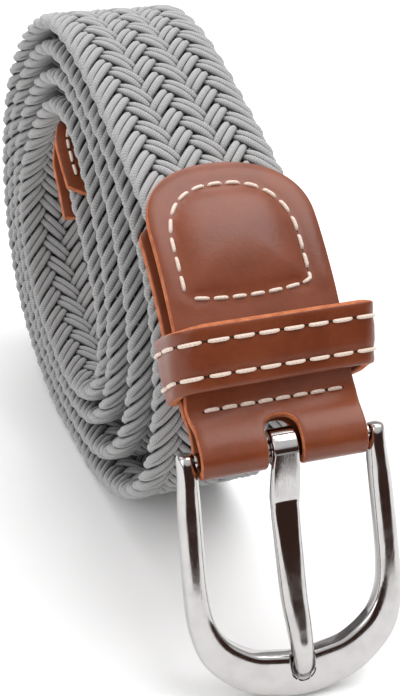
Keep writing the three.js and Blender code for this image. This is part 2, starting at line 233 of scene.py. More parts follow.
# %% [markdown]
# ## The braid
#
# The strap is plaited from thirteen ribbons, and each ribbon is a pair of elastic cords in a knitted
# cover. A ribbon runs slantwise from edge to edge, turns and comes back, and it passes over two of
# the others and then under two, which makes the herringbone columns. It could be faked with a
# texture on a flat band, but the roll shows the braid edge-on at every turn, where only real cords
# give the knobbly rim. So each cord is a true line in space, written down as a rule: its place
# across the belt is a triangle wave, its height a sharpened wave with a slower turn at the rim.

# %% Rule of the braid
RIBBONS = 13
PITCH = 5.85
PHASE = 4.36
CORD_RADIUS = 0.88
CORD_HEIGHT = 1.05
PAIR_APART = 0.215
HALF_WIDTH = 16.0
ACROSS = 2 * HALF_WIDTH / RIBBONS
STRAP_FROM, STRAP_TO = 19.5, BELT_LENGTH - 18.0
SAMPLES_PER_CROSSING = 4


def braid_across(t):
    """Place across the belt after t crossings, rounded where the cord turns at a rim."""
    step = np.mod(t, RIBBONS)
    heading = np.where(np.floor(t / RIBBONS) % 2 == 0, 1.0, -1.0)
    near_start = step < RIBBONS / 2
    inset = ACROSS * np.where(near_start, step, RIBBONS - step)
    rounding = (np.hypot(inset, CORD_RADIUS) - inset) * np.exp(-(inset / 6) ** 2)
    side = np.where(near_start, -1.0, 1.0) * heading
    return side * (HALF_WIDTH - inset - rounding)


def braid_height(t):
    """Height off the belt's middle: over two crossings, under two, and slower round a rim."""
    step = np.mod(t, RIBBONS)
    inner = (step - 1.5) * math.pi / 2
    late = 5 * math.pi + (step - 11.5) * math.pi / 3
    early = 5 * math.pi + (step + 1.5) * math.pi / 3
    phase = np.where(step > 11.5, late, np.where(step < 1.5, early, inner))
    return CORD_HEIGHT * np.tanh(1.3 * np.cos(phase)) / math.tanh(1.3)


def braid_cord(ribbon, pair):
    """Path and outward sides of one cord; pair is -1 or 1 for the two of a ribbon."""
    start = PHASE + ribbon * PITCH + pair * PAIR_APART * PITCH
    t0, t1 = ((end - start) * 2 / PITCH for end in (STRAP_FROM, STRAP_TO))
    t = np.linspace(t0, t1, int((t1 - t0) * SAMPLES_PER_CROSSING))
    s = start + t * PITCH / 2
    x = braid_across(t)
    h = braid_height(t + pair * PAIR_APART)
    return belt_point(x, s, h), belt_point(x, s, h + 1) - belt_point(x, s, h)


# %% Plait the strap
BRAID_PIECES, CORD_SIDES = 5, 8
for number, ribbons in enumerate(np.array_split(np.arange(RIBBONS), BRAID_PIECES)):
    lines = [(*braid_cord(ribbon, pair), CORD_RADIUS) for ribbon in ribbons for pair in (-1, 1)]
    make_cords(f"braid_cords_{number + 1}", lines, CORD_SIDES, "belt", ["braided_strap"])
print("Cords in the braid:", 2 * RIBBONS)

# %% [markdown]
# ## A sheet of cut leather
#
# Leather parts are cut flat from a hide and then bent. They are made the same way here: an outline,
# with any holes, is drawn on the flat, filled with a net of points, given its thickness with rounded
# edges, and then carried to its place by a function that knows how the piece is bent. The cut edge
# gets its own finish, because raw leather is paler than its dyed face. A box with a bevel could not
# follow the fold round the bar, and a subdivision cage would soften the slot.

# %% Helpers that cut leather
EDGE_ANGLES = np.radians([0, 35, 65, 90])


def even_loop(corners, spacing):
    """Closed outline with points at an even spacing."""
    closed = np.vstack([corners, corners[:1]])
    reach = distances(closed)
    at = np.linspace(0, reach[-1], max(8, int(reach[-1] / spacing)), endpoint=False)
    return np.stack([np.interp(at, reach, closed[:, k]) for k in (0, 1)], -1)


def even_line(corners, spacing):
    reach = distances(corners)
    at = np.linspace(0, reach[-1], max(2, round(reach[-1] / spacing) + 1))
    return np.stack([np.interp(at, reach, corners[:, k]) for k in (0, 1)], -1)


def inward(loop):
    """Unit directions to the left of a loop, which is its material's side."""
    ahead = np.roll(loop, -1, 0) - np.roll(loop, 1, 0)
    return unit(np.stack([-ahead[:, 1], ahead[:, 0]], -1))


def is_inside(points, loop):
    x, y = points[:, None, 0], points[:, None, 1]
    x0, y0 = loop[None, :, 0], loop[None, :, 1]
    x1, y1 = np.roll(x0, -1, 1), np.roll(y0, -1, 1)
    crosses = (y0 > y) != (y1 > y)
    rise = np.where(y1 == y0, 1.0, y1 - y0)
    return (np.sum(crosses & (x < (x1 - x0) * (y - y0) / rise + x0), 1) % 2) == 1


def distance_to(points, line, closed=True):
    """Shortest distance from each point to a line of points."""
    start = line if closed else line[:-1]
    end = np.roll(line, -1, 0) if closed else line[1:]
    span = end - start
    t = np.sum((points[:, None] - start) * span, -1) / np.maximum(np.sum(span**2, -1), 1e-9)
    nearest = start + np.clip(t, 0, 1)[..., None] * span
    return np.min(np.linalg.norm(points[:, None] - nearest, axis=-1), 1)


def cut_leather(name, loops, place, thickness, body, stands_for, spacing=1.2, edge=0.45):
    """A bent sheet from flat loops: the outline runs anticlockwise, holes run clockwise."""
    half = thickness / 2
    insets = edge * (1 - np.sin(EDGE_ANGLES))
    heights = half - edge * (1 - np.cos(EDGE_ANGLES))
    profile = [*zip(insets, heights), *zip(insets[::-1], -heights[::-1])]
    rims = [loop + inward(loop) * insets[0] for loop in loops]
    low, high = loops[0].min(0), loops[0].max(0)
    grid = np.stack(np.meshgrid(
        np.arange(low[0] + spacing / 2, high[0], spacing),
        np.arange(low[1] + spacing / 2, high[1], spacing),
    ), -1).reshape(-1, 2)
    keep = is_inside(grid, rims[0])
    for rim in rims:
        keep &= distance_to(grid, rim) > spacing * 0.55
    for rim in rims[1:]:
        keep &= ~is_inside(grid, rim)
    flat = np.vstack([*rims, grid[keep]])
    borders, count = [], 0
    for rim in rims:
        numbers = np.arange(len(rim)) + count
        borders += list(zip(numbers.tolist(), np.roll(numbers, -1).tolist()))
        count += len(rim)
    found, _, triangles, sources, _, _ = delaunay_2d_cdt([tuple(p) for p in flat], borders, [], 1, 1e-6)
    found = np.array([tuple(p) for p in found])
    source = np.array([names[0] for names in sources])
    triangles = np.array(triangles)
    middle = found[triangles].mean(1)
    inside = is_inside(middle, rims[0])
    for rim in rims[1:]:
        inside &= ~is_inside(middle, rim)
    triangles = source[triangles[inside]]
    inner = len(flat) - count
    rows = [np.vstack([loop + inward(loop) * inset for loop in loops]) for inset, _ in profile]
    levels = [np.full(count, height) for _, height in profile]
    last = count * (len(profile) - 1)
    flat_points = np.vstack([*rows, grid[keep], grid[keep]])
    level = np.concatenate([*levels, np.full(inner, half), np.full(inner, -half)])
    total = count * len(profile)
    top = np.where(triangles < count, triangles, triangles - count + total)
    bottom = np.where(triangles < count, triangles + last, triangles - count + total + inner)
    faces = top.tolist() + bottom[:, ::-1].tolist()
    finish = [0] * len(faces)
    for row in range(len(profile) - 1):
        for a, b in borders:
            a0, b0 = a + row * count, b + row * count
            faces.append([a0, a0 + count, b0 + count, b0])
            finish.append(1 if 0 < row < len(profile) - 2 else 0)
    points = place(flat_points[:, 0], flat_points[:, 1], level)
    make_piece(name, points, faces, body, stands_for, face_finish=finish)


# %% [markdown]
# ## Sewing
#
# A stitch is a short length of thread that rises out of one hole and dives into the next. Seen from
# arm's length a seam is mostly its rhythm: bright thread, dark hole, bright thread. So every stitch
# is a small arched cord of its own, and at each end of it sits a shallow dimple where the needle went
# through, coloured nearly black as painted shade of the hole. A dashed line in a texture would not
# catch the light along its back.

# %% Helpers that sew a line of thread
THREAD_RADIUS, THREAD_LIFT, THREAD_DIVE = 0.4, 0.3, 0.3
HOLE_LEVELS, HOLE_RADII = np.array([-0.35, 0.0, 0.09]), np.array([0.34, 0.4, 0.2])
HOLE_AHEAD = 0.1


def sew(name, line, place, pitch, length, body):
    """Stitches along a flat line, and the needle holes between them."""
    reach = distances(line)
    count = int(round(reach[-1] / pitch))
    gap = (reach[-1] - count * pitch) / 2 + pitch / 2
    t = np.linspace(-1, 1, 11)
    rise = THREAD_LIFT * (1 - np.abs(t) ** 4) - THREAD_DIVE * np.abs(t) ** 6
    radius = THREAD_RADIUS * (1 - 0.45 * np.abs(t) ** 5)
    threads, holes = [], []
    for number in range(count):
        at = gap + number * pitch + t * length / 2
        flat = np.stack([np.interp(at, reach, line[:, k]) for k in (0, 1)], -1)
        path = place(flat[:, 0], flat[:, 1], rise)
        up = place(flat[:, 0], flat[:, 1], rise + 1) - path
        threads.append((path, up, radius))
        # At each end a small plug stands for the needle hole; its near-black finish is painted shade.
        for end in (0, -1):
            ahead = unit(path[end] - path[len(t) // 2])
            x, a = np.repeat(flat[end][:, None], 3, 1)
            dip = place(x, a, HOLE_LEVELS) + ahead * HOLE_AHEAD
            holes.append((dip, np.repeat(ahead[None], 3, 0), HOLE_RADII))
    make_cords(f"{name}_thread", threads, 8, body)
    make_cords(f"{name}_holes", holes, 10, body)


def level_of(place, thickness):
    """The same place function, with heights counted from the leather's outer face."""
    return lambda x, a, h: place(x, a, np.asarray(h) + thickness / 2)


# %% [markdown]
# ## The buckle tab
#
# One strip of leather goes round the buckle's bar and is folded back on itself, with the strap's end
# sewn in between. Its path seen from the side is a teardrop: two leaves that hug the braid, pinch
# together under the keeper and swell round the bar. The path is one line again, counted from the
# bottom of the fold, so the strip can be cut flat, slot and all, and then wrapped.

# %% Side view of the tab
TAB_THICK = 1.7
TAB_HALF = 17.25
FOLD = [(9, 1.1), (7, 1.35), (5, 2.1), (3, 2.85), (1.2, 3.2), (-0.6, 3.2), (-2.0, 2.55), (-3.0, 1.35)]
PINCH, OPEN = 9.0, 19.0
FRONT_TOP, BACK_TOP = 57.2, 50.0


def smoothstep(value, low, high):
    t = np.clip((np.asarray(value, float) - low) / (high - low), 0, 1)
    return t * t * (3 - 2 * t)


def leaf_offset(s):
    return 1.1 + smoothstep(s, PINCH, OPEN) * (BELT_HALF_THICK + 0.3 + TAB_THICK / 2 - 1.1)


def leaf_line(side, top):
    s = np.arange(PINCH + 1.5, top + 3, 1.5)
    return belt_point(0, s, side * leaf_offset(s))[:, 1:]


FOLD_MIDDLE, FOLD_DEPTH = np.array([-62.6, 49.45]), 3.3
pinch_point = belt_point(0, PINCH, 0.0)[1:]
tab_along = unit(pinch_point - FOLD_MIDDLE)
tab_out = np.array([-tab_along[1], tab_along[0]])
fold_front = np.array([FOLD_MIDDLE + tab_along * s + tab_out * h for s, h in FOLD])
fold_back = np.array([FOLD_MIDDLE + tab_along * s - tab_out * h for s, h in FOLD])
fold_foot = FOLD_MIDDLE - FOLD_DEPTH * tab_along
fold_reach = distances(np.vstack([fold_foot, fold_front[::-1]]))
FOLD_EXTRA = fold_reach[-1] - PINCH


def with_reach(line, reach):
    return np.column_stack([line, reach])


leaf_back, leaf_front = leaf_line(-1, BACK_TOP), leaf_line(1, FRONT_TOP)
back_s = PINCH + 1.5 * np.arange(1, len(leaf_back) + 1) + FOLD_EXTRA
front_s = PINCH + 1.5 * np.arange(1, len(leaf_front) + 1) + FOLD_EXTRA
tab_rows = smooth_rows(np.vstack([
    with_reach(leaf_back, -back_s)[::-1],
    with_reach(fold_back, -fold_reach[:0:-1]),
    with_reach(fold_foot[None], 0.0),
    with_reach(fold_front[::-1], fold_reach[1:]),
    with_reach(leaf_front, front_s),
]), 12)
tab_line, tab_reach = tab_rows[:, :2], tab_rows[:, 2]
tab_run = unit(np.gradient(tab_line, axis=0))
print(f"The fold takes up {FOLD_EXTRA:.1f} mm more leather than it covers")

# %% Outline, slot and stitch lines on the flat
def rounded_end(half, top, arch, power):
    """Right half of a rounded end, from the side to the middle."""
    angle = np.linspace(0, math.pi / 2, 24)
    x = half * np.cos(angle) ** (2 / power)
    y = top - arch + arch * np.sin(angle) ** (2 / power)
    return np.stack([x, y], -1)


def two_ended(half, top, arch, power, foot, foot_arch, foot_power):
    """Anticlockwise outline with a rounded end above and another below."""
    right_top = rounded_end(half, top, arch, power)
    right_foot = rounded_end(half, foot, foot_arch, foot_power)
    right_foot = right_foot * [1, -1]
    left_top = right_top[::-1] * [-1, 1]
    left_foot = right_foot * [-1, 1]
    return np.vstack([right_foot[::-1], right_top, left_top[1:], left_foot])


tab_outline = even_loop(two_ended(
    TAB_HALF, FRONT_TOP + FOLD_EXTRA, 14, 2.15, BACK_TOP + FOLD_EXTRA, 5, 2.4,
), 0.9)
bar_distance = (tab_line - FOLD_MIDDLE) @ tab_along
SLOT_HALF, SLOT_STRAIGHT, SLOT_POWER = 3.6, 1.6, 2.6
slot_x = SLOT_HALF * np.cos(np.linspace(0, math.pi, 25))
slot_rise = np.maximum(0, 1 - np.abs(slot_x / SLOT_HALF) ** SLOT_POWER) ** (1 / SLOT_POWER)
slot_top = SLOT_STRAIGHT + SLOT_HALF * slot_rise
front_side = tab_reach > 0
slot_a = np.interp(slot_top, bar_distance[front_side], tab_reach[front_side])
slot_loop = np.vstack([np.stack([slot_x, slot_a], -1), np.stack([-slot_x, -slot_a], -1)])
slot_loop = even_loop(slot_loop, 0.7)[::-1]

D_HALF, D_FOOT, D_TOP = 12.9, 29.1, 51.6
d_line = two_ended(D_HALF, D_TOP, 12.0, 2.3, -D_FOOT, 1.6, 2.0) + [-0.7, FOLD_EXTRA]
d_line = even_loop(d_line, 0.5)

# %% [markdown]
# The upper part of the tab is padded inside its D-shaped seam, so the leather swells there like a
# small cushion and is drawn down along the thread. The swelling is worked out from the distance to
# the seam: it rises quickly next to the thread and flattens towards the middle, as stuffed leather
# does. Only the outer face swells; the inner one lies on the braid.

# %% Bend the tab round the bar
PANEL_SWELL, PANEL_EASE = 2.0, 4.2
MARGIN_SWELL, SEAM_DIP = 0.3, 0.16
NECK_NARROWS = 0.055
BAR_RUN = np.array([0.989, -0.126, 0.076])
TWIST = math.radians(7.6)
twist_axis = unit(np.cross([1.0, 0, 0], BAR_RUN))


def panel_relief(x, a):
    """How far the outer face stands off the flat leather."""
    flat = np.stack([x, a], -1)
    away = distance_to(flat, d_line)
    within = is_inside(flat, d_line)
    swell = PANEL_SWELL * (1 - np.exp(-((away / PANEL_EASE) ** 1.1)))
    margin = MARGIN_SWELL * (1 - np.exp(-((away / 1.1) ** 2)))
    rim = distance_to(flat, tab_outline)
    margin = margin * smoothstep(rim, 0.2, 2.0) * smoothstep(a, FOLD_EXTRA + 27.5, FOLD_EXTRA + 30)
    return np.where(within, swell, margin) - SEAM_DIP * np.exp(-((away / 0.55) ** 2))


def twist_neck(points):
    """The buckle hangs a little askew, so the neck twists until its fold lies along the bar."""
    origin = np.array([0, *FOLD_MIDDLE])
    away = points - origin
    angle = TWIST * (1 - smoothstep(away[:, 1:] @ tab_along, 3, 12.5))[:, None]
    along_axis = twist_axis * (away @ twist_axis)[:, None]
    turned = along_axis + (away - along_axis) * np.cos(angle) + np.cross(twist_axis, away) * np.sin(angle)
    return turned + origin


def tab_place(x, a, h):
    """x across, a along the strip from the foot of the fold, h out of its middle."""
    x, a, h = (np.asarray(v, float) for v in (x, a, h))
    point, out = along_line(a, tab_reach, tab_line, tab_run)
    relief = np.where(h > 0, panel_relief(x, a), 0.0)
    narrow = 1 - NECK_NARROWS * (1 - smoothstep(np.abs(a), 9, 15))
    place = point + out * (h + relief * np.clip(h / 0.5, 0, 1))[:, None]
    return twist_neck(np.concatenate([(x * narrow)[:, None], place], -1))


cut_leather("tab_leather", [tab_outline, slot_loop], tab_place, TAB_THICK, "belt", ["buckle_tab"])

# %% Sew the tab
tab_face = level_of(tab_place, TAB_THICK)
D_SEAM_START = np.argmin(np.linalg.norm(d_line - d_line.min(0), axis=1))
d_seam = np.roll(d_line, -D_SEAM_START, 0)
sew("tab_panel", np.vstack([d_seam, d_seam[:1]]), tab_face, 3.75, 3.0, "belt")
row_a = FOLD_EXTRA + 8.3
for name, sign in (("tab_neck_front", 1), ("tab_neck_back", -1)):
    row = even_line(np.array([[-14.0, sign * row_a], [14.5, sign * row_a]]), 0.5)
    sew(name, row, tab_face, 3.6, 2.9, "belt")
back_seam = two_ended(13.2, -FOLD_EXTRA - 27, 1.6, 2.0, BACK_TOP + FOLD_EXTRA - 4.2, 4, 2.4)
sew("tab_back", even_line(np.vstack([back_seam, back_seam[:1]]), 0.5), tab_face, 3.75, 3.0, "belt")

# %% [markdown]
# ## The keeper
#
# The keeper is a flat band of the same leather closed into a loop, which holds the free end down when
# the belt is worn. It is wider than the tab and stands well clear of it in front, where it leans out
# a little at its upper edge. A real one is bent round a former, so its corners are soft. It is one
# cross-section, a strip with rounded edges, carried round a closed line. Its edges are raw like the
# tab's, but for the lower front corner, which is dyed with the face.

# %% Bend the keeper
KEEPER_MIDDLE, KEEPER_WIDTH, KEEPER_WALL = 17.9, 12.4, 2.0
KEEPER_LEAN = math.radians(25)
KEEPER_SHIFT, KEEPER_HALF = 0.5, 19.15
KEEPER_BACK, KEEPER_FRONT = -5.5, 9.55
KEEPER_BOW = 0.12


def keeper_line():
    """Closed middle line of the band in x and h."""
    corners = [(1, 1, 2.0), (-1, 1, 5.2), (-1, -1, 5.0), (1, -1, 2.0)]
    points = []
    for number, (right, up, radius) in enumerate(corners):
        x = right * (KEEPER_HALF - radius)
        h = KEEPER_FRONT - radius if up > 0 else KEEPER_BACK + radius
        for angle in np.radians(np.linspace(0, 90, 9) + 90 * number):
            points.append([x + radius * math.cos(angle), h + radius * math.sin(angle)])
    loop = even_loop(np.array(points), 0.8)
    bow = KEEPER_BOW * np.cos(loop[:, 0] / KEEPER_HALF * math.pi / 2)
    loop[:, 1] += np.where(loop[:, 1] > 4, bow, 0.0)
    return loop


keeper_loop = keeper_line()
keeper_out = -inward(keeper_loop)
keeper_reach = distances(np.vstack([keeper_loop, keeper_loop[:1]]))
keeper_mid, keeper_up = along_line(np.array([KEEPER_MIDDLE]), route_reach, route_line, route_run)
keeper_along = np.array([keeper_up[0, 1], -keeper_up[0, 0]])
SEAM_INSET = 3.3


def keeper_place(q, w, h):
    """q round the loop, w across the band towards the tip, h out of its middle."""
    q, w, h = (np.asarray(v, float) for v in (q, w, h))
    q = np.mod(q, keeper_reach[-1])
    closed = [np.vstack([v, v[:1]]) for v in (keeper_loop, keeper_out)]
    at, out = ([np.interp(q, keeper_reach, v[:, k]) for k in (0, 1)] for v in closed)
    seam = np.abs(np.abs(w) - SEAM_INSET)
    relief = np.where(np.abs(w) < SEAM_INSET, 0.28, 0.12) * (1 - np.exp(-((seam / 1.0) ** 2)))
    h = h + np.where(h > 0, relief, 0.0) * np.clip(1 - (np.abs(w) - 5.5), 0, 1)
    x = KEEPER_SHIFT + at[0] + out[0] * h
    lean = KEEPER_LEAN * smoothstep(at[1], -3, 8)
    up = out[1] * h
    along = w * np.cos(lean) - up * np.sin(lean)
    height = at[1] + up * np.cos(lean) + w * np.sin(lean)
    place = keeper_mid[0] + keeper_along * along[:, None] + keeper_up[0] * height[:, None]
    return np.concatenate([x[:, None], place], -1)


def hoop_faces(rings, sides):
    """Faces of a closed hoop: its rings follow each other, and the last one meets the first."""
    faces = []
    for ring in range(rings):
        here, beyond = ring * sides, (ring + 1) % rings * sides
        for k in range(sides):
            m = (k + 1) % sides
            faces.append([here + k, beyond + k, beyond + m, here + m])
    return faces


def band_section(half_width, half_thick, edge):
    """Section of a strip with rounded edges, and which faces are raw; one front corner is dyed too."""
    right = [(half_width - edge * (1 - math.sin(a)), half_thick - edge * (1 - math.cos(a)))
             for a in EDGE_ANGLES]
    across = np.linspace(-half_width + edge, half_width - edge, 15)[1:-1]
    top = [(w, half_thick) for w in across]
    right_side = right + [(w, -h) for w, h in right[::-1]]
    bottom = [(-w, -h) for w, h in top]
    left_side = [(-w, -h) for w, h in right_side]
    raw = [0] * (len(top) + 1) + [1] * (len(right_side) - 1)
    dyed_corner = len(EDGE_ANGLES) - 1
    lower_raw = raw[:-dyed_corner] + [0] * dyed_corner
    return np.array(top + right_side + bottom + left_side), np.array(raw + lower_raw)


keeper_section, keeper_raw = band_section(KEEPER_WIDTH / 2, KEEPER_WALL / 2, 0.5)
keeper_count, section_count = len(keeper_loop), len(keeper_section)
keeper_q = np.repeat(keeper_reach[:-1], section_count)
keeper_w = np.tile(keeper_section[:, 0], keeper_count)
keeper_h = np.tile(keeper_section[:, 1], keeper_count)
make_piece(
    "keeper_leather", keeper_place(keeper_q, keeper_w, keeper_h),
    hoop_faces(keeper_count, section_count), "belt", ["keeper_loop"],
    face_finish=np.tile(keeper_raw, keeper_count).tolist(),
)

# %% Sew the keeper
keeper_face = level_of(keeper_place, KEEPER_WALL)
for name, w in (("keeper_upper", SEAM_INSET), ("keeper_lower", -SEAM_INSET)):
    around = np.arange(0, keeper_reach[-1], 0.5)
    seam = np.stack([around, np.full(len(around), w)], -1)
    sew(name, seam, keeper_face, 5.0, 4.2, "belt")

# %% [markdown]
# ## The tip
#
# The free end of the braid is closed between two rounded leaves of thinner leather. Near the mouth
# they gape, because the braid is springy and the leather isn't; beyond its end they lie together.
# Each leaf is cut flat with an arched mouth and a round end, and follows the belt's own line at a
# distance that shrinks where the braid stops.

# %% Cut the two leaves of the tip
TIP_THICK, TIP_LENGTH, TIP_INSIDE = 1.5, 31.0, 13.0
TIP_GAPE, TIP_ARCH = 1.0, 19.0


def tip_place(side, start):
    def place(x, s, h):
        x, s, h = (np.asarray(v, float) for v in (x, s, h))
        inside = s - BELT_LENGTH + TIP_LENGTH
        closing = smoothstep(inside, TIP_INSIDE - 1, TIP_INSIDE + 6)
        apart = BELT_HALF_THICK + 0.3 + TIP_THICK / 2
        together = 0.15 + TIP_THICK / 2
        gape = TIP_GAPE * (1 - smoothstep(s - start, 0, 7))
        offset = apart + closing * (together - apart) + gape
        return belt_point(x, s, side * (offset + h))
    return place


def tip_outline(start, mouth_arch):
    end = rounded_end(TAB_HALF, BELT_LENGTH, TIP_ARCH, 2.0)
    x = np.linspace(-1, 1, 25)
    mouth = np.stack([x * TAB_HALF, start - mouth_arch * (1 - x**2)], -1)
    return even_loop(np.vstack([mouth, end[1:], end[::-1][1:-1] * [-1, 1]]), 0.9)


def tip_seam(start):
    inset = 2.7
    end = rounded_end(TAB_HALF - inset, BELT_LENGTH - inset, TIP_ARCH - inset, 2.0)
    right = np.vstack([[[TAB_HALF - inset, start + 2.0]], end])
    return even_line(np.vstack([right, right[::-1][1:] * [-1, 1]]), 0.5)


for name, side, start, arch in (("outer", 1, BELT_LENGTH - 26, 6.0), ("inner", -1, BELT_LENGTH - 30, 1.5)):
    place = tip_place(side, start)
    cut_leather(
        f"tip_{name}_leather", [tip_outline(start, arch)], place, TIP_THICK, "belt",
        [f"tip_{name}_leaf"], edge=0.4,
    )
    sew(f"tip_{name}", tip_seam(start), level_of(place, TIP_THICK), 3.4, 2.7, "belt")

# %% [markdown]
# ## The buckle
#
# A cast horseshoe of metal, polished bright: two posts, bowed shoulders and a broad crossbar with a
# shallow groove where the prong's tip rests. A modeller would loft it: an oval section is carried
# along the horseshoe and its width and thickness change on the way. The bar is drawn in between the
# posts. The groove is pressed into the mesh by lowering its points, which leaves the soft lip that
# polishing gives, where a boolean would leave a knife edge.

# %% Directions of the buckle
LEAN, TURN, YAW = (math.radians(v) for v in (18.12, 1.91, -8.25))
FRAME_SHIFT = 0.29
bar = np.array([-62.5, 49.05])


def buckle_place(x, v, w):
    """x across the buckle, v away from its bar, w to its front."""
    x, v, w = (np.asarray(n, float) for n in (x, v, w))
    turned = x * math.cos(TURN) + v * math.sin(TURN)
    down = v * math.cos(TURN) - x * math.sin(TURN)
    across = turned * math.cos(YAW) + w * math.sin(YAW)
    ahead = w * math.cos(YAW) - turned * math.sin(YAW)
    y = bar[0] - math.sin(LEAN) * down - math.cos(LEAN) * ahead
    z = bar[1] - math.cos(LEAN) * down + math.sin(LEAN) * ahead
    return np.stack([FRAME_SHIFT + across, y, z], -1)


def loft(rings):
    """Closed skin over rings of the same number of points, ends capped."""
    rows, sides = rings.shape[:2]
    faces = []
    for i in range(rows - 1):
        for k in range(sides):
            a, b = i * sides + k, i * sides + (k + 1) % sides
            faces.append([a, b, b + sides, a + sides])
    faces.append(list(range(sides))[::-1])
    faces.append([(rows - 1) * sides + k for k in range(sides)])
    return rings.reshape(-1, 3), faces


# %% Loft the horseshoe
HORSESHOE = [  # x, v, width, thickness, roundness of the section
    (-18.72, -1.1, 3.4, 4.0, 0.9), (-18.7, -0.3, 3.6, 4.5, 0.9), (-18.66, 3.2, 3.9, 4.9, 0.9),
    (-19.0, 9.3, 4.5, 4.6, 0.9), (-19.33, 19.5, 4.65, 4.5, 0.85), (-19.43, 27.4, 4.75, 4.4, 0.7),
    (-18.86, 33.8, 5.4, 4.3, 0.5), (-16.44, 39.7, 6.8, 4.2, 0.35), (-10.92, 44.4, 7.85, 4.1, 0.28),
    (-5.78, 46.1, 8.55, 4.0, 0.25), (0, 46.95, 8.9, 4.0, 0.25),
]
GROOVE_X, GROOVE_HALF, GROOVE_END, GROOVE_FLOOR = 0.03, 2.25, 47.3, 0.9
FRAME_SIDES = 64
SMOOTHED_OVER = 1.6


def press_groove(x, v, w):
    """Lowers the front where the prong's tip lies."""
    centre = GROOVE_END - GROOVE_HALF
    outside = np.where(v > centre, np.hypot(x - GROOVE_X, v - centre), np.abs(x - GROOVE_X)) - GROOVE_HALF
    return w - (1 - smoothstep(outside, -0.35, 0.35)) * np.maximum(0, w - GROOVE_FLOOR)


mirrored = [(-x, *rest) for x, *rest in HORSESHOE[-2::-1]]
dense = smooth_rows(HORSESHOE + mirrored, 40)
dense_reach = distances(dense[:, :2])
at = [0.0]
while at[-1] < dense_reach[-1] - 0.3:
    near_groove = abs(np.interp(at[-1], dense_reach, dense[:, 0])) < 4.5
    at.append(at[-1] + (0.25 if near_groove else 0.8))
weights = np.exp(-(((np.array(at)[:, None] - dense_reach) / SMOOTHED_OVER) ** 2))
horseshoe = weights @ dense / weights.sum(1, keepdims=True)
caps = np.array([
    [-18.72, -1.0, 3.45, 4.05, 0.9], [-18.72, -1.35, 3.0, 3.6, 0.9],
    [-18.72, -1.52, 2.3, 2.8, 0.9], [-18.72, -1.55, 1.0, 1.2, 0.9],
])
horseshoe = np.vstack([caps[::-1], horseshoe[2:-2], caps * [-1, 1, 1, 1, 1]])
angle = np.arange(FRAME_SIDES) / FRAME_SIDES * 2 * math.pi
roundness = horseshoe[:, None, 4]
oval_across = np.cos(angle)[None]
flank = np.maximum(0, 1 - np.abs(oval_across) ** (2 / (0.3 + 0.6 * roundness)))
oval_up = np.sign(np.round(np.sin(angle), 9)) * flank ** (roundness / 2)
run = unit(np.gradient(horseshoe[:, :2], axis=0))
side = np.stack([-run[:, 1], run[:, 0]], -1)
across = oval_across * horseshoe[:, None, 2] / 2
frame_w = oval_up * horseshoe[:, None, 3] / 2
frame_x = horseshoe[:, None, 0] + side[:, None, 0] * across
frame_v = horseshoe[:, None, 1] + side[:, None, 1] * across
frame_w = press_groove(frame_x, frame_v, frame_w)
points, faces = loft(buckle_place(frame_x, frame_v, frame_w))
make_piece("buckle_horseshoe", points, faces, "buckle", ["buckle_frame"], sharp=50)

# %% Draw the bar
BAR_RADIUS, BAR_HALF = 1.4, 18.5
bar_x = np.concatenate([[-BAR_HALF], np.linspace(-BAR_HALF + 0.3, BAR_HALF - 0.3, 24), [BAR_HALF]])
bar_radius = np.full(len(bar_x), BAR_RADIUS)
bar_radius[[0, -1]] = BAR_RADIUS - 0.3
spin = np.arange(32) / 32 * 2 * math.pi
bar_rings = buckle_place(
    np.repeat(bar_x[:, None], 32, 1),
    bar_radius[:, None] * np.cos(spin),
    bar_radius[:, None] * np.sin(spin),
)
points, faces = loft(bar_rings)
make_piece("buckle_bar", points, faces, "buckle", ["buckle_frame"], sharp=50)

# %% [markdown]
# ## The prong
#
# The prong hangs on the bar by an eye and lies over the frame. Its shank is half round: flat behind,
# domed in front, a little narrower towards the tip, where it bends down into the groove. The eye is a
# band turned round the bar, and the two are welded into one skin with a boolean union, so that no
# wall is left inside.

# %% Make the prong
PRONG = [  # x, v, height over the frame's middle, width, thickness, roundness
    (0.0, 0.4, 3.085, 5.0, 2.07, 0.3), (-0.35, 3.7, 2.765, 5.45, 2.07, 0.22),
    (-0.8, 8.6, 2.315, 5.7, 2.03, 0.22), (-0.85, 10.2, 2.25, 5.6, 1.9, 0.25),
    (-0.9, 11.6, 2.31, 5.55, 2.02, 0.55), (-0.92, 15.7, 2.45, 5.5, 2.3, 0.65),
    (-0.85, 22, 2.58, 5.42, 2.57, 0.65), (-0.7, 29.7, 2.68, 5.3, 2.75, 0.7),
    (-0.2, 36.7, 2.82, 4.9, 3.05, 0.75), (0.0, 41.0, 2.88, 4.35, 3.25, 0.8),
    (0.03, 43.8, 2.67, 3.85, 2.95, 0.8), (0.03, 45.6, 2.25, 3.2, 2.1, 0.7),
    (0.05, 46.5, 1.95, 1.9, 1.3, 0.7),
]
dome = np.linspace(0, math.pi, 25)
prong = smooth_rows(PRONG, 8)
flat_side = prong[:, 2] - prong[:, 4] / 2
rounded = np.clip(prong[:, 5:6], 0.2, 0.9)
domed_x = np.broadcast_to(np.cos(dome), (len(prong), len(dome)))
flank = np.maximum(0, 1 - np.abs(domed_x) ** (2 / (0.3 + 0.55 * rounded)))
domed_w = 0.22 + 0.78 * flank ** (rounded / 2)
under_x = np.broadcast_to([-0.93, -0.84, -0.4, 0, 0.4, 0.84, 0.93], (len(prong), 7))
under_w = np.broadcast_to([0.06, 0, 0, 0, 0, 0, 0.06], (len(prong), 7))
ring_x, ring_w = np.hstack([domed_x, under_x]), np.hstack([domed_w, under_w])
prong_rings = buckle_place(
    prong[:, :1] + ring_x * prong[:, 3:4] / 2,
    np.repeat(prong[:, 1:2], ring_x.shape[1], 1),
    flat_side[:, None] + ring_w * prong[:, 4:5],
)
points, faces = loft(prong_rings)
shank = make_piece("prong", points, faces, "prong", ["buckle_prong"])

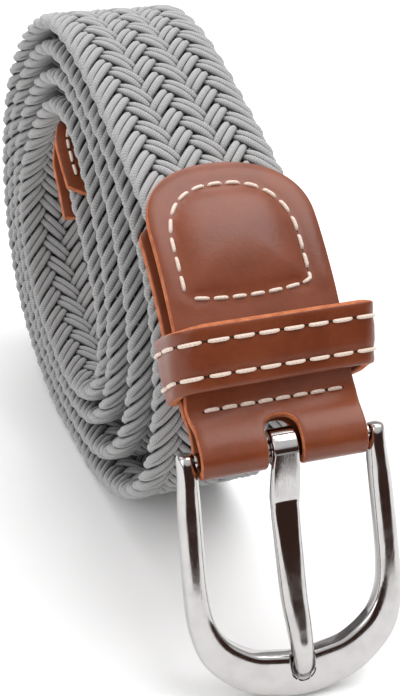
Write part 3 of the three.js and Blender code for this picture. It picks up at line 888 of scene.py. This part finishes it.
EYE_INNER, EYE_OUTER, EYE_HALF, EYE_EDGE = 1.75, 3.6, 2.5, 0.4
turned = np.linspace(0, math.pi / 2, 5)
eye_x, eye_r = EYE_HALF - EYE_EDGE, (EYE_OUTER - EYE_EDGE, EYE_INNER + EYE_EDGE)
corners = [(eye_x, eye_r[0]), (-eye_x, eye_r[0]), (-eye_x, eye_r[1]), (eye_x, eye_r[1])]
section = np.array([
    (x + EYE_EDGE * math.cos(t), r + EYE_EDGE * math.sin(t))
    for number, (x, r) in enumerate(corners) for t in turned + number * math.pi / 2
])
spins = np.arange(56) / 56 * 2 * math.pi
eye_points = buckle_place(
    np.repeat(section[None, :, 0] + PRONG[0][0], len(spins), 0),
    section[None, :, 1] * np.cos(spins)[:, None],
    section[None, :, 1] * np.sin(spins)[:, None],
).reshape(-1, 3)
eye_faces = hoop_faces(len(spins), len(section))
eye = make_piece("prong_eye", eye_points, eye_faces, "prong", ["buckle_prong"])


def weld(piece, other):
    """Joins other into piece as one closed skin, and deletes other."""
    union = piece.modifiers.new("weld", "BOOLEAN")
    union.operation, union.solver, union.object = "UNION", "EXACT", other
    solid = bpy.data.meshes.new_from_object(piece.evaluated_get(bpy.context.evaluated_depsgraph_get()))
    piece.modifiers.clear()
    piece.data = solid
    bpy.data.objects.remove(other)
    work = bmesh.new()
    work.from_mesh(solid)
    mark_sharp(work, 40)
    work.to_mesh(solid)
    work.free()
    print(f"{piece.name} welded: {len(solid.polygons)} faces")


weld(shank, eye)

# %% [markdown]
# ## Node groups that several finishes share
#
# Three effects come back in more than one finish, so each is built once as a node group. Grain gives
# leather its pebbles, its cloudy dye and its fibres on the cut edge. Twist gives thread and cord their
# little slanted plies, and a mask of the hollows between them for painted shade. Wear gives metal and
# leather the fine rubbed patches of handling. A group only puts out colours, masks and heights: the
# shader itself stays in each material.

# %% A small helper for node graphs
class Graph:
    """Adds nodes to a tree and links them in one line."""

    def __init__(self, tree):
        self.tree = tree
        self.column = 0

    def add(self, kind, inputs=(), **settings):
        node = self.tree.nodes.new(kind)
        node.location = (self.column * 180, -120 * (self.column % 4))
        self.column += 1
        for key, value in settings.items():
            setattr(node, key, value)
        for key, value in dict(inputs).items():
            self.feed(node.inputs[key], value)
        return node

    def feed(self, socket, value):
        if isinstance(value, bpy.types.NodeSocket):
            self.tree.links.new(value, socket)
        else:
            socket.default_value = value

    def math(self, operation, *values):
        return self.add("ShaderNodeMath", dict(enumerate(values)), operation=operation).outputs[0]

    def blend(self, factor, one, two, mode="MIX"):
        node = self.add("ShaderNodeMix", data_type="RGBA", blend_type=mode)
        for number, value in ((0, factor), (6, one), (7, two)):
            self.feed(node.inputs[number], value)
        return node.outputs[2]

    def noise(self, vector, scale, detail=3.0, rough=0.55):
        inputs = {"Vector": vector, "Scale": scale, "Detail": detail, "Roughness": rough}
        return self.add("ShaderNodeTexNoise", inputs).outputs["Fac"]

    def ramp(self, value, low, high):
        inputs = {"Value": value, "From Min": low, "From Max": high, "To Min": 0.0, "To Max": 1.0}
        return self.add("ShaderNodeMapRange", inputs, interpolation_type="SMOOTHSTEP").outputs["Result"]

    def millimetres(self):
        """Place on the object, in millimetres."""
        place = self.add("ShaderNodeTexCoord").outputs["Object"]
        return self.add("ShaderNodeVectorMath", {0: place, "Scale": 1000.0}, operation="SCALE").outputs[0]


def new_group(name, inputs, outputs):
    """An empty node group with named sockets: its graph, its input node and its output node."""
    tree = bpy.data.node_groups.new(name, "ShaderNodeTree")
    for label, kind, value in inputs:
        socket = tree.interface.new_socket(name=label, in_out="INPUT", socket_type=kind)
        socket.default_value = value
    for label, kind in outputs:
        tree.interface.new_socket(name=label, in_out="OUTPUT", socket_type=kind)
    return Graph(tree), tree.nodes.new("NodeGroupInput").outputs, tree.nodes.new("NodeGroupOutput").inputs


FLOAT, COLOUR = "NodeSocketFloat", "NodeSocketColor"

# %% Group: leather grain
g, given, result = new_group(
    "Leather grain",
    [("Deep", COLOUR, (0.1, 0.04, 0.02, 1)), ("Worn", COLOUR, (0.4, 0.2, 0.1, 1)), ("Pebble", FLOAT, 1.4),
     ("Cloud", FLOAT, 0.12), ("Fibre", FLOAT, 0.0)],
    [("Color", COLOUR), ("Height", FLOAT), ("Dull", FLOAT)],
)
place = g.millimetres()
cells = g.add("ShaderNodeTexVoronoi", {"Vector": place, "Scale": given["Pebble"]}, feature="SMOOTH_F1")
pebble = g.ramp(cells.outputs["Distance"], 0.05, 0.75)
pores = g.noise(place, 5.0, 2.0)
fibres = g.noise(place, 9.0, 4.0, 0.75)
cloud = g.noise(place, given["Cloud"], 4.0, 0.6)
height = g.math("MULTIPLY_ADD", pores, 0.35, pebble)
height = g.math("MULTIPLY_ADD", fibres, given["Fibre"], height)
tone = g.ramp(g.math("MULTIPLY_ADD", pebble, 0.05, cloud), 0.31, 0.69)
tone = g.math("MULTIPLY_ADD", g.math("SUBTRACT", fibres, 0.5), given["Fibre"], tone)
g.feed(result["Color"], g.blend(tone, given["Deep"], given["Worn"]))
g.feed(result["Height"], height)
g.feed(result["Dull"], g.math("MULTIPLY_ADD", pebble, 0.03, g.math("MULTIPLY", cloud, 0.25)))
leather_grain = g.tree

# %% Group: twist of the yarn
g, given, result = new_group(
    "Yarn twist",
    [("Plies", FLOAT, 6.0), ("Per mm", FLOAT, 1.2), ("Slant", FLOAT, 1.0)],
    [("Mask", FLOAT), ("Height", FLOAT)],
)
uv = g.add("ShaderNodeUVMap", uv_map="cord").outputs["UV"]
split = g.add("ShaderNodeSeparateXYZ", {0: uv}).outputs
wale = g.math("MULTIPLY", split["X"], given["Plies"])
centre = g.math("ABSOLUTE", g.math("SUBTRACT", g.math("FRACT", wale), 0.5))
course = g.math("MULTIPLY_ADD", split["Y"], given["Per mm"], g.math("MULTIPLY", centre, given["Slant"]))
wave = g.math("SINE", g.math("MULTIPLY", course, 2 * math.pi))
bumps = g.math("MULTIPLY_ADD", wave, 0.5, 0.5)
ridge = g.math("SUBTRACT", 1.0, g.math("POWER", g.math("MULTIPLY", centre, 2.0), 2.0))
loops = g.math("MULTIPLY", bumps, g.math("MULTIPLY_ADD", ridge, 0.6, 0.4))
# The loops are high on the crests and low in the hollows. They are both the bump height and the mask for
# painted shade in the hollows.
g.feed(result["Mask"], loops)
g.feed(result["Height"], loops)
yarn_twist = g.tree

# %% Group: wear of handling
g, given, result = new_group(
    "Handling wear",
    [("Patch", FLOAT, 0.15), ("Hairline", FLOAT, 3.0)],
    [("Patches", FLOAT), ("Lines", FLOAT)],
)
place = g.millimetres()
g.feed(result["Patches"], g.ramp(g.noise(place, given["Patch"], 5.0, 0.6), 0.4, 0.7))
stretch = g.add("ShaderNodeMapping", {"Vector": place, "Scale": (1.0, 0.12, 0.12)}).outputs[0]
g.feed(result["Lines"], g.ramp(g.noise(stretch, given["Hairline"], 3.0), 0.45, 0.62))
handling_wear = g.tree

# %% [markdown]
# ## The finishes
#
# Each finish is a Principled shader with its own steady values set on its sockets, and the groups feed
# only what changes over the surface. The cords are matt knitted polyester, a heather grey whose
# fibres catch a little light at grazing angles, which is what sheen is for. The leather is dyed and
# waxed, so it has a thin glossy coat; its raw edge has none. The thread is pale waxed cotton.

# %% A helper that starts a material
def new_material(name, **values):
    material = bpy.data.materials.new(name)
    material.use_nodes = True
    graph = Graph(material.node_tree)
    shader = material.node_tree.nodes["Principled BSDF"]
    for key, value in values.items():
        shader.inputs[key.replace("_", " ")].default_value = value
    return material, graph, shader.inputs


def place_group(graph, tree, **values):
    node = graph.add("ShaderNodeGroup", node_tree=tree)
    for key, value in values.items():
        node.inputs[key.replace("_", " ")].default_value = value
    return node.outputs


def add_bump(graph, sockets, height, depth):
    """depth in millimetres."""
    inputs = {"Height": height, "Distance": depth * MM, "Strength": 1.0}
    graph.feed(sockets["Normal"], graph.add("ShaderNodeBump", inputs).outputs[0])


# %% Cord cover
cord_finish, g, sockets = new_material(
    "Heather grey cord", Roughness=0.85, Sheen_Weight=0.25, Sheen_Roughness=0.5, Specular_IOR_Level=0.25,
)
twist = place_group(g, yarn_twist, Plies=7.0, Per_mm=1.9, Slant=0.9)
place = g.millimetres()
heather = g.ramp(g.noise(place, 2.4, 3.0, 0.7), 0.3, 0.7)
fleck = g.ramp(g.noise(place, 7.0, 1.0), 0.52, 0.66)
base = g.blend(heather, (0.31, 0.31, 0.313, 1), (0.39, 0.388, 0.385, 1))
base = g.blend(fleck, base, (0.45, 0.45, 0.445, 1))
# Painted shade: the knit's hollows between loops are coloured a darker grey.
base = g.blend(g.ramp(twist["Mask"], 0.0, 0.3), (0.25, 0.25, 0.253, 1), base)
# Painted shade: where ambient occlusion finds the cord closed in, in the gaps between cords and turns, its
# colour goes nearly black.
openness_for_painted_shade = g.add("ShaderNodeAmbientOcclusion", {"Distance": 2.0 * MM}, samples=6).outputs["AO"]
g.feed(sockets["Base Color"], g.blend(g.ramp(openness_for_painted_shade, 0.2, 0.8), (0.02, 0.02, 0.022, 1), base))
add_bump(g, sockets, twist["Height"], 0.035)

# %% Dyed leather and its raw edge
leather_finish, g, sockets = new_material(
    "Tan brown leather", Roughness=0.4, Coat_Weight=0.12, Coat_Roughness=0.25, Specular_IOR_Level=0.3,
)
grain = place_group(
    g, leather_grain, Deep=(0.145, 0.03, 0.0095, 1), Worn=(0.2, 0.046, 0.0155, 1),
    Pebble=1.5, Cloud=0.06, Fibre=0.0,
)
wear = place_group(g, handling_wear, Patch=0.16, Hairline=1.5)
worn = g.math("MULTIPLY", wear["Patches"], 0.2)
g.feed(sockets["Base Color"], g.blend(worn, grain["Color"], (0.23, 0.062, 0.025, 1)))
g.feed(sockets["Roughness"], g.math("ADD", grain["Dull"], 0.2))
add_bump(g, sockets, grain["Height"], 0.012)

raw_finish, g, sockets = new_material("Raw leather edge", Roughness=0.8, Specular_IOR_Level=0.3)
grain = place_group(
    g, leather_grain, Deep=(0.34, 0.085, 0.03, 1), Worn=(0.52, 0.165, 0.065, 1),
    Pebble=3.0, Cloud=0.5, Fibre=0.6,
)
g.feed(sockets["Base Color"], grain["Color"])
add_bump(g, sockets, grain["Height"], 0.1)

# %% Thread and needle holes
thread_finish, g, sockets = new_material(
    "Cream waxed thread", Roughness=0.6, Sheen_Weight=0.15, Specular_IOR_Level=0.4,
)
twist = place_group(g, yarn_twist, Plies=2.0, Per_mm=1.3, Slant=2.0)
# Painted shade: the grooves between the thread's plies are coloured darker.
tint_with_painted_shade = g.blend(g.ramp(twist["Mask"], 0.0, 0.6), (0.68, 0.54, 0.45, 1), (0.78, 0.65, 0.56, 1))
g.feed(sockets["Base Color"], tint_with_painted_shade)
add_bump(g, sockets, twist["Height"], 0.015)

# Painted shade: the plugs in the needle holes are nearly black, standing in for the shade inside each
# hole.
hole_shade_finish, g, sockets = new_material("Needle hole painted shade", Roughness=0.9, Specular_IOR_Level=0.1)
grain = place_group(
    g, leather_grain, Deep=(0.012, 0.005, 0.003, 1), Worn=(0.05, 0.02, 0.012, 1),
    Pebble=4.0, Cloud=1.0, Fibre=0.3,
)
g.feed(sockets["Base Color"], grain["Color"])

# %% [markdown]
# Polished nickel is almost a mirror, so what it shows is the room. Its own finish is a bright warm
# metal with a very fine roughness that changes a little where it has been rubbed: without that a
# mirror looks like a computer drew it.

# %% Polished nickel
metal_finish, g, sockets = new_material("Polished nickel", Metallic=1.0, Roughness=0.12)
wear = place_group(g, handling_wear, Patch=0.25, Hairline=4.0)
g.feed(sockets["Base Color"], g.blend(wear["Patches"], (0.51, 0.497, 0.492, 1), (0.47, 0.457, 0.452, 1)))
rubbed = g.math("MULTIPLY_ADD", wear["Patches"], 0.05, 0.07)
g.feed(sockets["Roughness"], g.math("MULTIPLY_ADD", wear["Lines"], 0.03, rubbed))
add_bump(g, sockets, wear["Lines"], 0.002)

# %% Give every piece its finish
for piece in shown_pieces():
    name = piece.name
    index = np.zeros(len(piece.data.polygons), np.int32)
    piece.data.polygons.foreach_get("material_index", index)
    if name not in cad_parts:
        piece.data.materials.clear()
    if name.startswith("braid_cords"):
        finishes = [cord_finish]
    elif name.endswith("_thread"):
        finishes = [thread_finish]
    elif name.endswith("_holes"):
        finishes = [hole_shade_finish]
    elif name.endswith("_leather"):
        finishes = [leather_finish, raw_finish]
    else:
        finishes = [metal_finish]
    for finish in finishes:
        piece.data.materials.append(finish)
    piece.data.polygons.foreach_set("material_index", index)

# %% [markdown]
# ## Floor, light and camera
#
# The studio is plain: a pale table top, a large soft light above, weaker ones from the left and from
# behind, and a soft surround. The table ends a hand's breadth in front of the buckle, and beyond it,
# where the photographer stands, the room is dark up to head height. Polished metal is only as dark as
# what it reflects, so without that dark side the round posts would vanish into the white table. The
# camera stands where the photograph's did, worked out from the belt's own width and turns.

# %% Floor
TABLE_FRONT, TABLE_REACH = -0.285, 3.0
floor_mesh = bpy.data.meshes.new("studio_floor")
floor_mesh.from_pydata([
    (-TABLE_REACH, TABLE_FRONT, 0), (TABLE_REACH, TABLE_FRONT, 0),
    (TABLE_REACH, TABLE_REACH, 0), (-TABLE_REACH, TABLE_REACH, 0),
], [], [(0, 1, 2, 3)])
floor = bpy.data.objects.new("studio_floor", floor_mesh)
bpy.context.scene.collection.objects.link(floor)
floor_finish, g, sockets = new_material("Pale floor", Roughness=0.75, Specular_IOR_Level=0.2)
paper = g.ramp(g.noise(g.millimetres(), 0.02, 2.0), 0.2, 0.8)
g.feed(sockets["Base Color"], g.blend(paper, (0.9, 0.9, 0.9, 1), (0.93, 0.93, 0.93, 1)))
floor.data.materials.append(floor_finish)

# %% Soft light
def softbox(name, place, aim, size, power):
    light = bpy.data.lights.new(name, "AREA")
    light.shape, light.size, light.size_y, light.energy = "RECTANGLE", size[0], size[1], power
    lamp = bpy.data.objects.new(name, light)
    bpy.context.scene.collection.objects.link(lamp)
    back = unit(np.array(place, float) - np.array(aim, float))
    right = unit(np.cross([0, 0, 1.0], back) if abs(back[2]) < 0.99 else np.array([1.0, 0, 0]))
    up = np.cross(back, right)
    lamp.matrix_world = Matrix([[right[k], up[k], back[k], place[k]] for k in range(3)] + [[0, 0, 0, 1]])


softbox("key_above", (0.36, 0.0, 1.05), (0, 0, 0.05), (1.0, 0.75), 9.0)
softbox("fill_left", (-0.95, -0.3, 0.55), (0, 0, 0.05), (0.8, 0.8), 3.8)
softbox("rim_behind", (0.1, 0.9, 0.7), (0, 0, 0.05), (0.9, 0.5), 3.0)

world = bpy.data.worlds.new("white surround")
world.use_nodes = True
bpy.context.scene.world = world
g = Graph(world.node_tree)
direction = g.add("ShaderNodeTexCoord").outputs["Generated"]
split = g.add("ShaderNodeSeparateXYZ", {0: direction}).outputs
height = split["Z"]
sky = g.blend(g.ramp(height, 0.0, 0.75), (0.42, 0.41, 0.4, 1), (1.0, 1.0, 1.0, 1))
beside = g.ramp(g.math("ABSOLUTE", split["X"]), 0.86, 0.74)
low = g.ramp(height, 0.42, 0.26)
doorway = g.math("MULTIPLY", g.math("MULTIPLY", beside, low), g.ramp(split["Y"], -0.3, -0.6))
sky = g.blend(doorway, sky, (0.06, 0.03, 0.023, 1))
seen = g.add("ShaderNodeLightPath").outputs["Is Camera Ray"]
background = world.node_tree.nodes["Background"]
g.feed(background.inputs["Color"], g.blend(seen, sky, (1.0, 1.0, 1.0, 1)))
background.inputs["Strength"].default_value = 0.95

# %% Camera
EYE = (-0.10339, -0.25531, 0.20037)
RIGHT, UP = (0.9271, -0.3711, 0.0532), (0.1494, 0.4959, 0.8554)
FORWARD = (0.3439, 0.7851, -0.5151)
camera = bpy.data.objects.new("camera", bpy.data.cameras.new("camera"))
bpy.context.scene.collection.objects.link(camera)
camera.matrix_world = Matrix(
    [[RIGHT[k], UP[k], -FORWARD[k], EYE[k]] for k in range(3)] + [[0, 0, 0, 1]]
)
camera.data.sensor_width = 36.0
camera.data.lens = 72.41
camera.data.clip_start, camera.data.clip_end = 0.01, 20
bpy.context.scene.camera = camera
bpy.context.scene.view_settings.view_transform = "Standard"
